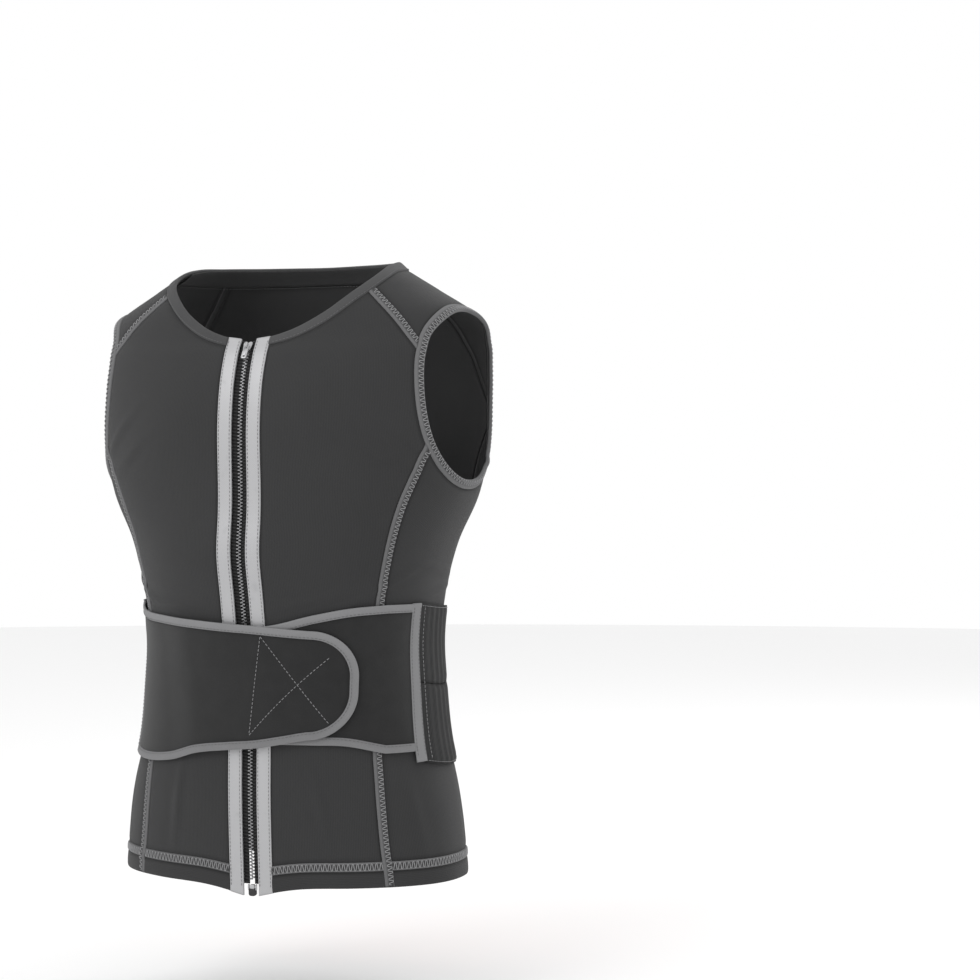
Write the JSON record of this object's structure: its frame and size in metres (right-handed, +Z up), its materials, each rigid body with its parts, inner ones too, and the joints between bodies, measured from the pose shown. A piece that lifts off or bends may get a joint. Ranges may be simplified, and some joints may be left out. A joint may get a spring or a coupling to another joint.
{
  "type": "motorcycle armour vest",
  "caption": "Sleeveless zipped protector vest with a wraparound kidney belt, flat seams, reflective strips and a ridged back protector with a vented tail plate.",
  "frame": {"origin": "between the shoulders, level with their high points beside the neck, where the vest hangs", "axes": "+Z up along the back, -Y out of the chest, +X to the wearer's left"},
  "size_m": [0.4018, 0.2906, 0.6479],
  "materials": {
    "vest_fabric": "matte black stretch knit",
    "belt_fabric": "matte black loop fabric",
    "seam_thread": "grey flat stitched seam",
    "dark_binding": "dark grey stretch binding",
    "grey_binding": "grey woven binding",
    "reflective": "light grey reflective tape",
    "zip_tape": "black woven tape",
    "zip_metal": "dark metal",
    "protector": "orange soft moulded foam"
  },
  "bodies": {
    "vest": {"armhole_binding_left": "dark_binding", "armhole_binding_right": "dark_binding", "back_neck_facing": "dark_binding", "back_panel": "vest_fabric", "back_protector": "protector", "belt_back": "belt_fabric", "belt_back_binding_bottom": "grey_binding", "belt_back_binding_top": "grey_binding", "belt_back_strip_left": "reflective", "belt_back_strip_right": "reflective", "belt_binding_left": "grey_binding", "belt_binding_right": "grey_binding", "belt_elastic_lower_left": "belt_fabric", "belt_elastic_lower_right": "belt_fabric", "belt_elastic_upper_left": "belt_fabric", "belt_elastic_upper_right": "belt_fabric", "belt_front_strip_left": "grey_binding", "belt_front_strip_right": "grey_binding", "belt_wing_left": "belt_fabric", "belt_wing_right": "belt_fabric", "front_panel_left": "vest_fabric", "front_panel_right": "vest_fabric", "hem_band": "vest_fabric", "hem_seam": "seam_thread", "neck_binding": "dark_binding", "pocket_band": "grey_binding", "princess_seam_back_left": "seam_thread", "princess_seam_back_right": "seam_thread", "princess_seam_front_left": "seam_thread", "princess_seam_front_right": "seam_thread", "reflective_strip_left": "reflective", "reflective_strip_right": "reflective", "shoulder_seam_back_left": "seam_thread", "shoulder_seam_back_right": "seam_thread", "shoulder_seam_front_left": "seam_thread", "shoulder_seam_front_right": "seam_thread", "shoulder_yoke_left": "vest_fabric", "shoulder_yoke_right": "vest_fabric", "side_panel_left": "vest_fabric", "side_panel_right": "vest_fabric", "tail_protector": "protector", "zip_bottom_box": "zip_metal", "zip_slider": "zip_metal", "zip_tape_left": "zip_tape", "zip_tape_right": "zip_tape", "zip_teeth_left": "zip_metal", "zip_teeth_right": "zip_metal"},
    "pull_tab": {"zip_pull_tab": "zip_metal"}
  },
  "joints": [
    {"name": "pull_tab_hinge", "type": "hinge", "parent": "vest", "child": "pull_tab", "pos_m": [0, -0.11889, -0.08266], "axis": [-1, 0, 0], "range_deg": [0, 150]}
  ]
}
